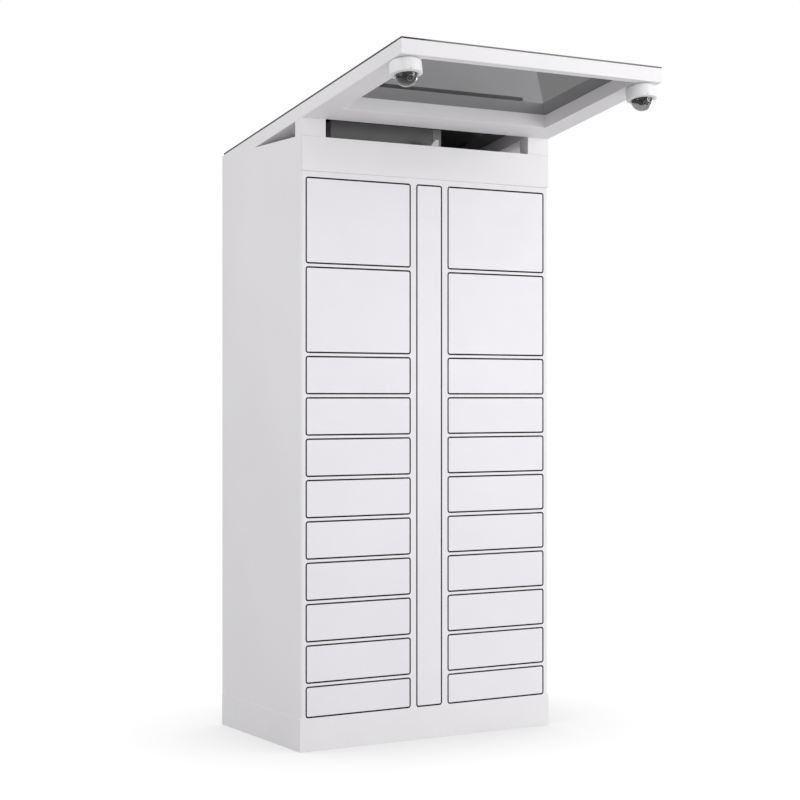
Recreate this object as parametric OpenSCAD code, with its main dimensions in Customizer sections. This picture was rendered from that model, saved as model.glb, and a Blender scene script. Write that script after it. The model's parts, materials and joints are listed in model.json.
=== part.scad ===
// Outdoor parcel locker: two door columns, a service column between them and a sloping solar canopy.
// Origin: centre of the cabinet's footprint on the floor. +X is right seen from the front, -Y is the front.

/* [Cabinet] */
// Width of the cabinet
cab_w = 1000; // [800:1:1200]
// Depth of the cabinet from the door face to the back
cab_d = 600; // [450:1:800]
// Height of the cabinet above the top door openings
header_h = 133.5; // [100:0.5:180]
// Height of the plinth
plinth_h = 110; // [80:1:160]
// How far the plinth stands out from the cabinet walls
plinth_proud = 1; // [0.5:0.5:8]
// Thickness of the cabinet's steel sheet
sheet_t = 2; // [1.5:0.1:3]
// Outer radius of the front corners
corner_r = 10; // [4:0.5:16]

/* [Door layout] */
// Width of the outer stiles
stile_w = 20; // [18:0.5:30]
// Width of the stiles beside the service column
mid_stile_w = 21.7; // [20:0.1:30]
// Width of the service column's opening
service_w = 104.6; // [90:0.2:140]
// Height of the large compartments' openings
large_h = 287.5; // [220:0.5:340]
// Height of the small compartments' openings
small_h = 128; // [105:0.5:160]
// Height of the bottom compartments' openings
bottom_h = 105; // [90:0.5:140]
// Height of the crossbars between the doors
bar_h = 8.7; // [8:0.1:14]
// Number of large compartments in a column
large_count = 2; // [1:1:3]
// Number of small compartments in a column
small_count = 8; // [4:1:9]

/* [Doors] */
// Gap between a door leaf and its opening
door_gap = 4.6; // [3.6:0.1:5.2]
// Depth of the folded door pan
door_t = 18; // [15:0.5:24]
// Thickness of the door sheet
door_sheet = 1.5; // [1.2:0.1:2]
// Corner radius of a door leaf
leaf_r = 5; // [2:0.5:7]
// Distance of the hinge axis from the leaf's side edge and from its front face
pivot_in = 8; // [7:0.5:9]
// Diameter of the hinge pins
pin_d = 5; // [4:0.5:6]
// Radial clearance of the hinge pins in their holes
pin_clear = 0.05; // [0.02:0.01:0.1]

/* [Canopy] */
// How far the canopy reaches out in front of the doors
overhang = 644; // [400:1:750]
// Slope of the canopy, falling to the back
pitch = 9.5; // [7:0.1:12]
// Height of the roof's rear edge above the cabinet top
rear_rise = 10; // [8:0.5:20]
// How far the canopy is set in from the cabinet's sides and back
canopy_inset = 4; // [2:0.5:10]
// Vertical height of the canopy's edge, with the roof panel
fascia_h = 51; // [40:1:70]
// Vertical thickness of the roof panel
roof_t = 5; // [4:0.5:8]
// Bond line between the roof panel and the frame under it
bond_t = 0.2; // [0.1:0.1:1]
// Width of the canopy's side beams
beam_w = 91; // [70:1:120]
// Depth of the front fascia beam
fascia_d = 26; // [20:1:40]
// Width of the canopy posts
post_w = 88.4; // [50:0.2:90]
// Depth of the canopy posts
post_d = 50; // [30:1:70]
// How far the header panel and the posts stand in front of the doors
header_proud = 7; // [5:0.5:12]
// Height of the front frame that shows between the top doors and the header panel
header_reveal = 19; // [10:1:30]
// Depth of the soffit box in front of the posts
soffit_d = 108; // [60:1:160]

/* [Cameras] */
// Diameter of a camera housing
cam_d = 100; // [90:1:110]
// Height of the straight side of a camera housing below the soffit
cam_h = 44; // [40:1:48]
// Distance of a camera's axis from the canopy's front edge
cam_back = 54; // [50:1:70]
// Outer radius of the camera's dome
dome_r = 36.5; // [34:0.5:37]
// Tilt of the camera's lens below the horizontal
cam_tilt = 35; // [0:1:80]

/* [Fixings] */
// Spacing of the floor anchor holes across the cabinet
anchor_x = 900; // [600:1:920]
// Spacing of the floor anchor holes from front to back
anchor_y = 460; // [300:1:500]
// Diameter of the floor anchor holes
anchor_d = 13; // [9:0.5:16]
// Spacing of the wall fixing holes in the back panel
wall_fix_x = 800; // [500:1:900]
// Diameter of the wall fixing holes
wall_fix_d = 11; // [8:0.5:13]

/* [Hidden] */
$fn = 48;
eps = 0.02;
white = [0.9, 0.9, 0.92];
zinc = [0.7, 0.71, 0.72];
steel = [0.75, 0.75, 0.76];
dark = [0.13, 0.13, 0.14];
module_grey = [0.3, 0.3, 0.32];
smoke = [0.2, 0.2, 0.22, 0.6];

door_count = large_count + small_count + 1;
opening_w = (cab_w - 2 * stile_w - 2 * mid_stile_w - service_w) / 2;
heights = [for (i = [0 : door_count - 1])
    i < large_count ? large_h : i < door_count - 1 ? small_h : bottom_h];
function sum_to(list, n) = n <= 0 ? 0 : list[n - 1] + sum_to(list, n - 1);
stack_h = sum_to(heights, door_count) + (door_count - 1) * bar_h;
stack_top = plinth_h + stack_h;
cab_h = stack_top + header_h;
// lower edge of opening i, counted from the top
function sill_z(i) = stack_top - sum_to(heights, i + 1) - i * bar_h;

front_y = -cab_d / 2;
back_y = cab_d / 2;
side_x = cab_w / 2;
divider_x = service_w / 2 + mid_stile_w;
opening_x = side_x - stile_w;
frame_d = 25;
frame_back_y = front_y + frame_d;
rear_flange = 20;
weld_gap = 0.05;
inner_back_y = back_y - sheet_t;

left_names = [for (i = [1 : door_count]) str("left_door_", i)];
right_names = [for (i = [1 : door_count]) str("right_door_", i)];

// hinges
pin_r = pin_d / 2;
bore_r = pin_r + pin_clear;
pivot_y = front_y + pivot_in;
side_pivot_x = opening_x - door_gap - pivot_in;
service_pivot_x = -service_w / 2 + door_gap + pivot_in;
pin_reach = 12;
block_w = 14;
block_h = 10;

// locks
lock_t = 13.5;
lock_d = 72;
lock_h = 58;
lock_inset = 28;
lock_front_y = front_y + lock_inset;
latch_w = 16;
latch_h = 12;
latch_back = 14;
latch_y = lock_front_y + latch_back;
latch_clear = 0.6;
striker_t = 3;
striker_h = 24;
striker_in = 9;
striker_reach = 46;
striker_foot = 16;
loop_w = 11;
loop_h = 12;
service_lock_h = 30;
service_lock_i = large_count + 2;
service_lock_z = sill_z(service_lock_i) - bar_h / 2;

// canopy
slope = tan(pitch);
canopy_x = side_x - canopy_inset;
canopy_front_y = front_y - overhang;
canopy_rear_y = back_y - canopy_inset;
beam_x = canopy_x - beam_w;
fascia_back_y = canopy_front_y + fascia_d;
header_front_y = front_y - header_proud;
soffit_front_y = header_front_y - soffit_d;
post_back_y = header_front_y + post_d;
function roof_z(y) = cab_h + rear_rise + slope * (canopy_rear_y - y);
function roof_under_z(y) = roof_z(y) - roof_t;
function bond_z(y) = roof_under_z(y) - bond_t;
function soffit_z(y) = roof_z(y) - fascia_h;
rest_y = canopy_rear_y - (fascia_h - rear_rise) / slope;

// cameras
cam_x = canopy_x - beam_w / 2;
cam_y = canopy_front_y + cam_back;
cam_z = soffit_z(cam_y);
cam_chamfer = 2.8;
cam_lip_r = 40;
cam_bottom = cam_h + cam_chamfer;
dome_t = 2.5;
dome_drop = cam_h + 2;
cam_seat = 0.2;
cam_shoulder = 8;
dome_flange = 2;
dome_flange_t = 3;
dome_skirt = 4;
cam_fit = 0.3;
cavity_room = 0.5;
cavity_r = dome_r - dome_t + cavity_room;
cavity_top = 18;
spindle_r = 6;
spindle_h = 7.5;
bearing_h = 8;
turntable_r = 30;
turntable_t = 3.5;
turntable_gap = 0.5;
cheek_x = 21;
cheek_t = 4;
cheek_w = 16;
cheek_drop = 8;
eye_r = 17;
barrel_r = 11;
barrel_reach = 26;
lens_r = 8;
lens_inset = 2;
trunnion_r = 3;
shoulder_r = 5.5;
run_clear = 0.05;

// service column equipment
trunk_w = 40;
trunk_wall = 2;
trunk_low = 350;
trunk_end_gap = 100;
controller_size = [110, 60, 240];
controller_low = 1500;
battery_size = [120, 290, 210];
battery_back_gap = 25;

// small fixings
anchor_rail_w = 60;
anchor_rail_t = 4;
plinth_t = 5;
screw_r = 2.5;
screw_head_r = 4.75;
screw_head_h = 2.6;
screw_len = 8;
screw_rows = 8;
screw_margin = 60;
screw_clear = 0.1;
screw_in = 11;
screw_x = side_x - screw_in;
vent_w = 60;
vent_h = 5;
vent_pitch = 14;
vent_count = 8;
vent_low = 200;
vent_drop = 220;
vent_high = cab_h - vent_drop;
wall_fix_z = stack_top + header_h / 2;
junction_w = 110;
junction_d = 80;
junction_t = 20;
junction_share = 0.6;
junction_y = front_y + cab_d * junction_share;
antenna_x = 24;
antenna_back = 65;
antenna_y = front_y + antenna_back;
antenna_h = 31;
antenna_w = 40;
antenna_top_w = 14;
antenna_d = 50;
equipment_x0 = -320;
equipment_x1 = 122;
equipment_y0 = front_y + 120;
equipment_y1 = equipment_y0 + 100;
equipment_headroom = 4;

module mirrored_x(right) {
    mirror([right ? 1 : 0, 0, 0]) children();
}

// a slab between two corners
module slab(low, high) {
    translate(low) cube(high - low);
}

module rounded_rect(w, h, r) {
    translate([r, 0]) square([w - 2 * r, h]);
    translate([0, r]) square([w, h - 2 * r]);
    for (x = [r, w - r]) for (y = [r, h - r]) translate([x, y]) circle(r);
}

// an outline in Y and Z, extruded along X from x0 to x1
module along_x(x0, x1, points) {
    translate([x0, 0, 0]) rotate([90, 0, 90]) linear_extrude(x1 - x0) polygon(points);
}

// Door pan with its lower left corner at x = 0, z = 0, front face on y = 0 and the hinge on the left
module door_pan(w, h) {
    difference() {
        translate([0, door_t, 0]) rotate([90, 0, 0]) linear_extrude(door_t) rounded_rect(w, h, leaf_r);
        translate([0, door_t + door_sheet, 0]) rotate([90, 0, 0]) linear_extrude(door_t)
            translate([door_sheet, door_sheet])
                rounded_rect(w - 2 * door_sheet, h - 2 * door_sheet, leaf_r - door_sheet);
        for (z = [-eps, h - door_sheet - eps])
            translate([pivot_in, pivot_in, z]) cylinder(r = bore_r, h = door_sheet + 2 * eps);
    }
    for (z = [door_sheet - eps, h - door_sheet - block_h + eps]) hinge_block(z);
}

// Block welded into a corner of the pan around the hinge bore
module hinge_block(z) {
    difference() {
        slab([door_sheet - eps, door_sheet - eps, z],
             [door_sheet + block_w, door_sheet + block_w, z + block_h]);
        translate([pivot_in, pivot_in, z - eps]) cylinder(r = bore_r, h = block_h + 2 * eps);
    }
}

// Angle bracket with a loop that the lock's latch enters; x is the face of its blade, on the hinge side
module striker(x, z) {
    difference() {
        slab([x, door_sheet, z - striker_h / 2], [x + striker_t, striker_reach, z + striker_h / 2]);
        slab([x - eps, latch_y - front_y - loop_w / 2, z - loop_h / 2],
             [x + striker_t + eps, latch_y - front_y + loop_w / 2, z + loop_h / 2]);
    }
    slab([x - striker_foot, door_sheet, z - striker_h / 2],
         [x + eps, door_sheet + striker_t, z + striker_h / 2]);
}

module column_door(i, right) {
    h = heights[i] - 2 * door_gap;
    w = opening_w - 2 * door_gap;
    color(white) mirrored_x(right) translate([-opening_x + door_gap, front_y, sill_z(i) + door_gap]) {
        door_pan(w, h);
        striker(w - striker_in - striker_t, h / 2);
    }
}

module service_door() {
    w = service_w - 2 * door_gap;
    color(white) translate([-service_w / 2 + door_gap, front_y, plinth_h + door_gap]) {
        door_pan(w, stack_h - 2 * door_gap);
        striker(w - striker_in - striker_t, service_lock_z - plinth_h - door_gap);
    }
}

module plinth() {
    out_x = side_x + plinth_proud;
    out_y = back_y + plinth_proud;
    color(white) {
        slab([-out_x, -out_y, 0], [out_x, -out_y + plinth_t, plinth_h]);
        slab([-out_x, out_y - plinth_t, 0], [out_x, out_y, plinth_h]);
        for (x = [-out_x, out_x - plinth_t])
            slab([x, -out_y + plinth_t, 0], [x + plinth_t, out_y - plinth_t, plinth_h]);
    }
}

module anchor_rails() {
    end_y = back_y + plinth_proud - plinth_t;
    color(zinc) for (x = [-anchor_x / 2, anchor_x / 2]) difference() {
        slab([x - anchor_rail_w / 2, -end_y, 0], [x + anchor_rail_w / 2, end_y, anchor_rail_t]);
        for (y = [-anchor_y / 2, anchor_y / 2])
            translate([x, y, -eps]) cylinder(d = anchor_d, h = anchor_rail_t + 2 * eps);
    }
}

module base_panel() {
    x = side_x + plinth_proud - plinth_t;
    y = back_y + plinth_proud - plinth_t;
    color(zinc) difference() {
        slab([-x, -y, plinth_h - sheet_t], [x, y, plinth_h]);
        pin_holes(plinth_h - sheet_t - eps, sheet_t + 2 * eps);
    }
}

module pin_holes(z, h) {
    for (x = [-side_pivot_x, service_pivot_x, side_pivot_x])
        translate([x, pivot_y, z]) cylinder(r = bore_r, h = h);
}

// Folded front stile with its round corner and return, a flat side sheet and a rear flange, welded together
module side_panel(right) {
    color(white) mirrored_x(right) difference() {
        translate([0, 0, plinth_h]) linear_extrude(cab_h - plinth_h) side_profile();
        screw_holes(inner_back_y - sheet_t - eps, sheet_t + 2 * eps);
        slab([-opening_x - sheet_t - eps, front_y + corner_r, cab_h - sheet_t],
             [-opening_x + eps, frame_back_y + eps, cab_h + eps]);
    }
}

module side_profile() {
    difference() {
        intersection() {
            translate([-side_x + corner_r, front_y + corner_r]) circle(corner_r);
            translate([-side_x, front_y]) square(corner_r);
        }
        translate([-side_x + corner_r, front_y + corner_r]) circle(corner_r - sheet_t);
    }
    translate([-side_x, front_y + corner_r + weld_gap]) square([sheet_t, cab_d - corner_r - weld_gap]);
    translate([-side_x + corner_r, front_y]) square([stile_w - corner_r, sheet_t]);
    translate([-opening_x - sheet_t, front_y]) square([sheet_t, frame_d]);
    translate([-side_x + sheet_t + weld_gap, inner_back_y - sheet_t])
        square([rear_flange - sheet_t - weld_gap, sheet_t]);
}

module screw_holes(y, h) {
    for (x = [-screw_x, screw_x]) for (i = [0 : screw_rows - 1])
        translate([x, y, screw_z(i)]) rotate([-90, 0, 0]) cylinder(r = screw_r + screw_clear, h = h);
}

function screw_z(i) = plinth_h + screw_margin + i * (cab_h - plinth_h - 2 * screw_margin) / (screw_rows - 1);

module back_panel() {
    x = side_x - sheet_t;
    color(white) difference() {
        slab([-x, inner_back_y, plinth_h], [x, back_y, cab_h]);
        screw_holes(inner_back_y - eps, sheet_t + 2 * eps);
        for (hole_x = [-wall_fix_x / 2, wall_fix_x / 2])
            translate([hole_x, inner_back_y - eps, wall_fix_z]) rotate([-90, 0, 0])
                cylinder(d = wall_fix_d, h = sheet_t + 2 * eps);
        for (low = [vent_low, vent_high]) for (i = [0 : vent_count - 1])
            slab([-vent_w / 2, inner_back_y - eps, low + i * vent_pitch],
                 [vent_w / 2, back_y + eps, low + i * vent_pitch + vent_h]);
    }
}

module top_panel() {
    color(white) slab([-side_x + sheet_t, front_y + corner_r, cab_h - sheet_t],
                      [side_x - sheet_t, inner_back_y - sheet_t, cab_h]);
}

module ceiling_panel() {
    color(zinc) slab([-side_x + sheet_t, frame_back_y, stack_top],
                     [side_x - sheet_t, inner_back_y - sheet_t, stack_top + sheet_t]);
}

// One folded sheet: stile beside the service column and the wall behind it
module divider(right) {
    stile_in = service_w / 2;
    color(white) mirrored_x(right) difference() {
        translate([0, 0, plinth_h]) linear_extrude(stack_h) {
            translate([-divider_x, front_y]) square([sheet_t, inner_back_y - front_y]);
            translate([-divider_x, front_y]) square([mid_stile_w, sheet_t]);
            translate([-stile_in - sheet_t, front_y]) square([sheet_t, frame_d]);
        }
        for (i = [0 : door_count - 1]) latch_slot(sill_z(i) + heights[i] / 2);
    }
}

module latch_slot(z) {
    slab([-divider_x - eps, latch_y - latch_w / 2 - latch_clear, z - latch_h / 2 - latch_clear],
         [-divider_x + sheet_t + eps, latch_y + latch_w / 2 + latch_clear, z + latch_h / 2 + latch_clear]);
}

module shelves() {
    color(zinc) for (right = [false, true]) for (i = [0 : door_count - 2])
        mirrored_x(right)
            slab([-side_x + sheet_t, frame_back_y, sill_z(i) - sheet_t],
                 [-divider_x, inner_back_y - sheet_t, sill_z(i)]);
}

// Channels between the doors; the hinge pins pass through their flanges
module crossbars() {
    color(white) for (right = [false, true]) for (i = [0 : door_count - 2]) mirrored_x(right) difference() {
        z = sill_z(i) - bar_h;
        along_x(-opening_x, -divider_x, [
            [front_y, z], [frame_back_y, z], [frame_back_y, z + sheet_t], [front_y + sheet_t, z + sheet_t],
            [front_y + sheet_t, z + bar_h - sheet_t], [frame_back_y, z + bar_h - sheet_t],
            [frame_back_y, z + bar_h], [front_y, z + bar_h]]);
        translate([-side_pivot_x, pivot_y, z - eps]) cylinder(r = bore_r, h = bar_h + 2 * eps);
    }
}

module front_header() {
    x = opening_x;
    color(white) difference() {
        along_x(-x, x, [
            [front_y, stack_top], [frame_back_y, stack_top], [frame_back_y, stack_top + sheet_t],
            [front_y + sheet_t, stack_top + sheet_t], [front_y + sheet_t, cab_h - sheet_t],
            [front_y + corner_r, cab_h - sheet_t], [front_y + corner_r, cab_h], [front_y, cab_h]]);
        pin_holes(stack_top - eps, sheet_t + 2 * eps);
    }
}

// Shallow pan screwed over the front above the doors
module header_panel() {
    x = canopy_x;
    low = stack_top + header_reveal;
    color(white) difference() {
        slab([-x, header_front_y, low], [x, front_y, cab_h]);
        slab([-x + sheet_t, header_front_y + sheet_t, low + sheet_t],
             [x - sheet_t, front_y + eps, cab_h - sheet_t]);
    }
}

module canopy_posts() {
    color(white) for (right = [false, true]) mirrored_x(right) intersection() {
        difference() {
            slab([-canopy_x, header_front_y, cab_h],
                 [-canopy_x + post_w, post_back_y, roof_z(header_front_y)]);
            slab([-canopy_x + sheet_t, header_front_y + sheet_t, cab_h - eps],
                 [-canopy_x + post_w - sheet_t, post_back_y - sheet_t, roof_z(canopy_front_y)]);
        }
        under_soffit(-canopy_x - post_w, -beam_x + post_w);
    }
}

// Everything below the canopy's soffit plane, between two x
module under_soffit(x0, x1) {
    along_x(x0, x1, [
        [canopy_front_y, soffit_z(canopy_front_y)], [canopy_front_y, 0],
        [canopy_rear_y, 0], [canopy_rear_y, soffit_z(canopy_rear_y)]]);
}

// Folded trough under the roof panel, open at its top
module canopy_beam(right) {
    color(white) mirrored_x(right) difference() {
        along_x(-canopy_x, -beam_x, [
            [fascia_back_y, soffit_z(fascia_back_y)], [rest_y, cab_h], [canopy_rear_y, cab_h],
            [canopy_rear_y, bond_z(canopy_rear_y)], [fascia_back_y, bond_z(fascia_back_y)]]);
        trough_cut(-canopy_x + sheet_t, -beam_x - sheet_t, fascia_back_y + sheet_t, rest_y,
                   canopy_rear_y - sheet_t);
    }
}

// Inside of a trough: its floor is a sheet above the soffit, or above the cabinet top behind y_kink
module trough_cut(x0, x1, y0, y_kink, y1) {
    along_x(x0, x1, [
        [y0, soffit_z(y0) + sheet_t], [y_kink, soffit_z(y_kink) + sheet_t], [y1, soffit_z(y_kink) + sheet_t],
        [y1, roof_z(y0)], [y0, roof_z(y0)]]);
}

module front_fascia() {
    color(white) difference() {
        along_x(-canopy_x, canopy_x, [
            [canopy_front_y, soffit_z(canopy_front_y)], [fascia_back_y, soffit_z(fascia_back_y)],
            [fascia_back_y, bond_z(fascia_back_y)], [canopy_front_y, bond_z(canopy_front_y)]]);
        trough_cut(-canopy_x + sheet_t, canopy_x - sheet_t, canopy_front_y + sheet_t,
                   canopy_front_y + fascia_d / 2, fascia_back_y - sheet_t);
    }
}

module rear_soffit() {
    y0 = soffit_front_y;
    y1 = header_front_y;
    color(white) difference() {
        along_x(-beam_x, beam_x, [
            [y0, soffit_z(y0)], [y1, soffit_z(y1)], [y1, bond_z(y1)], [y0, bond_z(y0)]]);
        along_x(-beam_x + sheet_t, beam_x - sheet_t, [
            [y0 + sheet_t, soffit_z(y0 + sheet_t) + sheet_t],
            [y1 - sheet_t, soffit_z(y1 - sheet_t) + sheet_t],
            [y1 - sheet_t, roof_z(y0)], [y0 + sheet_t, roof_z(y0)]]);
    }
}

// Solar laminate that is also the roof
module roof_panel() {
    color(dark) along_x(-canopy_x, canopy_x, [
        [canopy_front_y, roof_under_z(canopy_front_y)], [canopy_rear_y, roof_under_z(canopy_rear_y)],
        [canopy_rear_y, roof_z(canopy_rear_y)], [canopy_front_y, roof_z(canopy_front_y)]]);
}

module solar_junction_box() {
    y0 = junction_y;
    y1 = junction_y + junction_d;
    color(dark) along_x(-junction_w / 2, junction_w / 2, [
        [y0, bond_z(y0) - junction_t], [y1, bond_z(y1) - junction_t],
        [y1, bond_z(y1)], [y0, bond_z(y0)]]);
}

// Low aerial housing on the cabinet top, behind the header
module antenna() {
    color(white) translate([antenna_x, antenna_y + antenna_d / 2, cab_h]) rotate([90, 0, 0])
        linear_extrude(antenna_d) polygon([
            [0, 0], [antenna_w, 0], [antenna_w, antenna_h], [antenna_w - antenna_top_w, antenna_h]]);
}

// Side outline of the equipment cover, drawn in by the given amount
function equipment_outline(inset, bottom_z) = [
    [equipment_y0 + inset, bottom_z], [equipment_y1 - inset, bottom_z],
    [equipment_y1 - inset, bond_z(equipment_y1) - equipment_headroom - inset],
    [equipment_y0 + inset, bond_z(equipment_y0) - equipment_headroom - inset]];

// Long cover for the supply unit and modem, open below, standing on the cabinet top
module equipment_box() {
    color(module_grey) difference() {
        along_x(equipment_x0, equipment_x1, equipment_outline(0, cab_h));
        along_x(equipment_x0 + sheet_t, equipment_x1 - sheet_t, equipment_outline(sheet_t, cab_h - eps));
    }
}

module at_camera(right) {
    translate([right ? cam_x : -cam_x, cam_y, cam_z]) rotate([-pitch, 0, 0]) children();
}

// Housing fixed square to the sloping soffit, with the bearing for the yoke's spindle
module camera_base(right) {
    groove_low = -dome_drop + dome_skirt - run_clear;
    groove_top = -dome_drop + dome_skirt + dome_flange_t + run_clear;
    color(white) at_camera(right) difference() {
        rotate_extrude() polygon([
            [0, -cam_seat], [cam_d / 2 - cam_shoulder, -cam_seat], [cam_d / 2, -cam_seat - cam_shoulder],
            [cam_d / 2, -cam_h], [cam_lip_r, -cam_bottom],
            [dome_r + cam_fit, -cam_bottom], [dome_r + cam_fit, groove_low],
            [dome_r + dome_flange + cam_fit, groove_low], [dome_r + dome_flange + cam_fit, groove_top],
            [cavity_r, groove_top], [cavity_r, -cavity_top], [0, -cavity_top]]);
        translate([0, 0, -cavity_top - eps]) cylinder(r = spindle_r + run_clear, h = bearing_h + eps);
    }
}

// Half-sphere shell with a short skirt and the flange that the housing holds
module camera_dome(right) {
    inner_r = dome_r - dome_t;
    color(smoke) at_camera(right) translate([0, 0, -dome_drop]) rotate_extrude() {
        intersection() {
            difference() {
                circle(dome_r);
                circle(inner_r);
            }
            translate([0, -dome_r]) square(dome_r);
        }
        translate([inner_r, 0]) square([dome_t, dome_skirt + dome_flange_t]);
        translate([inner_r, dome_skirt]) square([dome_t + dome_flange, dome_flange_t]);
    }
}

// Turntable that pans, with its spindle and the two cheeks that carry the eye
module camera_yoke(right) {
    plate_top = -cavity_top - turntable_gap;
    plate_low = plate_top - turntable_t;
    color(dark) at_camera(right) {
        translate([0, 0, plate_low]) cylinder(r = turntable_r, h = turntable_t);
        translate([0, 0, plate_low]) cylinder(r = spindle_r, h = turntable_t + turntable_gap + spindle_h);
        for (side = [0, 1]) mirror([side, 0, 0]) difference() {
            slab([cheek_x, -cheek_w / 2, -dome_drop - cheek_drop],
                 [cheek_x + cheek_t, cheek_w / 2, plate_low + eps]);
            translate([cheek_x - eps, 0, -dome_drop]) rotate([0, 90, 0])
                cylinder(r = trunnion_r + run_clear, h = cheek_t + 2 * eps);
        }
    }
}

// Ball with the lens barrel and the trunnions it tilts on
module camera_eye(right) {
    color(module_grey) at_camera(right) translate([0, 0, -dome_drop]) {
        difference() {
            union() {
                sphere(eye_r);
                rotate([90 + cam_tilt, 0, 0]) cylinder(r = barrel_r, h = barrel_reach);
                rotate([0, 90, 0]) translate([0, 0, -cheek_x + cam_fit])
                    cylinder(r = shoulder_r, h = 2 * (cheek_x - cam_fit));
                rotate([0, 90, 0]) translate([0, 0, -cheek_x - cheek_t])
                    cylinder(r = trunnion_r, h = 2 * (cheek_x + cheek_t));
            }
            rotate([90 + cam_tilt, 0, 0]) translate([0, 0, barrel_reach - lens_inset])
                cylinder(r = lens_r, h = lens_inset + eps);
        }
    }
}

// Lock case behind each divider, with its latch drawn back flush into the divider's slot
module lock_unit(z) {
    slab([-divider_x + sheet_t, lock_front_y, z - lock_h / 2],
         [-divider_x + sheet_t + lock_t, lock_front_y + lock_d, z + lock_h / 2]);
    slab([-divider_x, latch_y - latch_w / 2, z - latch_h / 2],
         [-divider_x + sheet_t + eps, latch_y + latch_w / 2, z + latch_h / 2]);
}

// Flat lock of the service door, between two lock units on the right divider
module service_lock() {
    x1 = divider_x - sheet_t;
    slab([x1 - lock_t, lock_front_y, service_lock_z - service_lock_h / 2],
         [x1, lock_front_y + lock_d, service_lock_z + service_lock_h / 2]);
    slab([x1 - lock_t - sheet_t, latch_y - latch_w / 2, service_lock_z - latch_h / 2],
         [x1 - lock_t + eps, latch_y + latch_w / 2, service_lock_z + latch_h / 2]);
}

module door_locks() {
    color(dark) {
        for (right = [false, true]) for (i = [0 : door_count - 1])
            mirrored_x(right) lock_unit(sill_z(i) + heights[i] / 2);
        service_lock();
    }
}

module cable_trunk() {
    top = stack_top - trunk_end_gap;
    y1 = inner_back_y;
    color(steel) difference() {
        slab([-trunk_w / 2, y1 - trunk_w, trunk_low], [trunk_w / 2, y1, top]);
        slab([-trunk_w / 2 + trunk_wall, y1 - trunk_w + trunk_wall, trunk_low - eps],
             [trunk_w / 2 - trunk_wall, y1 - trunk_wall, top + eps]);
    }
}

// Control unit on the front of the trunk
module controller() {
    y1 = inner_back_y - trunk_w;
    color(dark) slab([-controller_size[0] / 2, y1 - controller_size[1], controller_low],
                     [controller_size[0] / 2, y1, controller_low + controller_size[2]]);
}

module battery() {
    y1 = inner_back_y - battery_back_gap;
    color(dark) slab([-battery_size[0] / 2, y1 - battery_size[1], plinth_h],
                     [battery_size[0] / 2, y1, plinth_h + battery_size[2]]);
}

// Pins through the crossbars, the header and the base; each carries the doors above and below it
module hinge_pins() {
    color(steel) {
        for (x = [-side_pivot_x, side_pivot_x]) for (i = [0 : door_count - 2])
            hinge_pin(x, sill_z(i) - bar_h - pin_reach, sill_z(i) + pin_reach);
        for (x = [-side_pivot_x, service_pivot_x, side_pivot_x]) {
            hinge_pin(x, stack_top - pin_reach, stack_top + pin_reach);
            hinge_pin(x, plinth_h - pin_reach, plinth_h + pin_reach);
        }
    }
}

module hinge_pin(x, low, high) {
    translate([x, pivot_y, low]) cylinder(r = pin_r, h = high - low);
}

module rear_screws() {
    color(steel) for (x = [-screw_x, screw_x]) for (i = [0 : screw_rows - 1])
        translate([x, back_y, screw_z(i)]) rotate([-90, 0, 0]) {
            translate([0, 0, -screw_len]) cylinder(r = screw_r, h = screw_len + eps);
            cylinder(r = screw_head_r, h = screw_head_h);
        }
}

for (i = [0 : door_count - 1]) column_door(i, false);
for (i = [0 : door_count - 1]) column_door(i, true);
service_door();
plinth();
anchor_rails();
base_panel();
side_panel(false);  // left_side_panel
side_panel(true);  // right_side_panel
back_panel();
top_panel();
ceiling_panel();
divider(false);  // left_divider
divider(true);  // right_divider
shelves();
crossbars();
front_header();
header_panel();
canopy_posts();
canopy_beam(false);  // left_canopy_beam
canopy_beam(true);  // right_canopy_beam
front_fascia();
rear_soffit();
roof_panel();
solar_junction_box();
equipment_box();
antenna();
camera_base(false);  // left_camera_base
camera_dome(false);  // left_camera_dome
camera_yoke(false);  // left_camera_yoke
camera_eye(false);  // left_camera_eye
camera_base(true);  // right_camera_base
camera_dome(true);  // right_camera_dome
camera_yoke(true);  // right_camera_yoke
camera_eye(true);  // right_camera_eye
door_locks();
controller();
battery();
cable_trunk();
hinge_pins();
rear_screws();
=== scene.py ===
import json
from math import cos, pi, radians, sin, tan

import bmesh
import bpy
from mathutils import Matrix, Vector

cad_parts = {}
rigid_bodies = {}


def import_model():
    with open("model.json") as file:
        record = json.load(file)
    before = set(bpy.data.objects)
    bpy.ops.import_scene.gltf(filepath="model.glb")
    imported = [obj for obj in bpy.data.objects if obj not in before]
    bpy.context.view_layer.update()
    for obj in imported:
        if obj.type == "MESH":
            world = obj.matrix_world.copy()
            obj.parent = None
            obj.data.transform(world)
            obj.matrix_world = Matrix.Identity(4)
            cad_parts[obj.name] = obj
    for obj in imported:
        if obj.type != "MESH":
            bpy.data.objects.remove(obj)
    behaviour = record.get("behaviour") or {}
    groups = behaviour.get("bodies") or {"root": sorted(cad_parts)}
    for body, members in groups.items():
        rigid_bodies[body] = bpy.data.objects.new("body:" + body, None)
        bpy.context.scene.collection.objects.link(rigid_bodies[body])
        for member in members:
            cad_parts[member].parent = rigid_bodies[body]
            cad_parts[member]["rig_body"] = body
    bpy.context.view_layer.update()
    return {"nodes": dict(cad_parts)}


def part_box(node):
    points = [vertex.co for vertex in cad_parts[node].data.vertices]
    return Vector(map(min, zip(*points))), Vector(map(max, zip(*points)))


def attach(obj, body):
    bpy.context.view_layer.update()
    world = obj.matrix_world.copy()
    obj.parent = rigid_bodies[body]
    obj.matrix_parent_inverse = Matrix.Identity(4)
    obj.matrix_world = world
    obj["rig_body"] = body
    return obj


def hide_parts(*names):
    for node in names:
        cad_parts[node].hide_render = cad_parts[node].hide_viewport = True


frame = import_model()
cadNodes = frame["nodes"]
leftDoors = [name for name in cadNodes if name.startswith("left_door_")]
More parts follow.
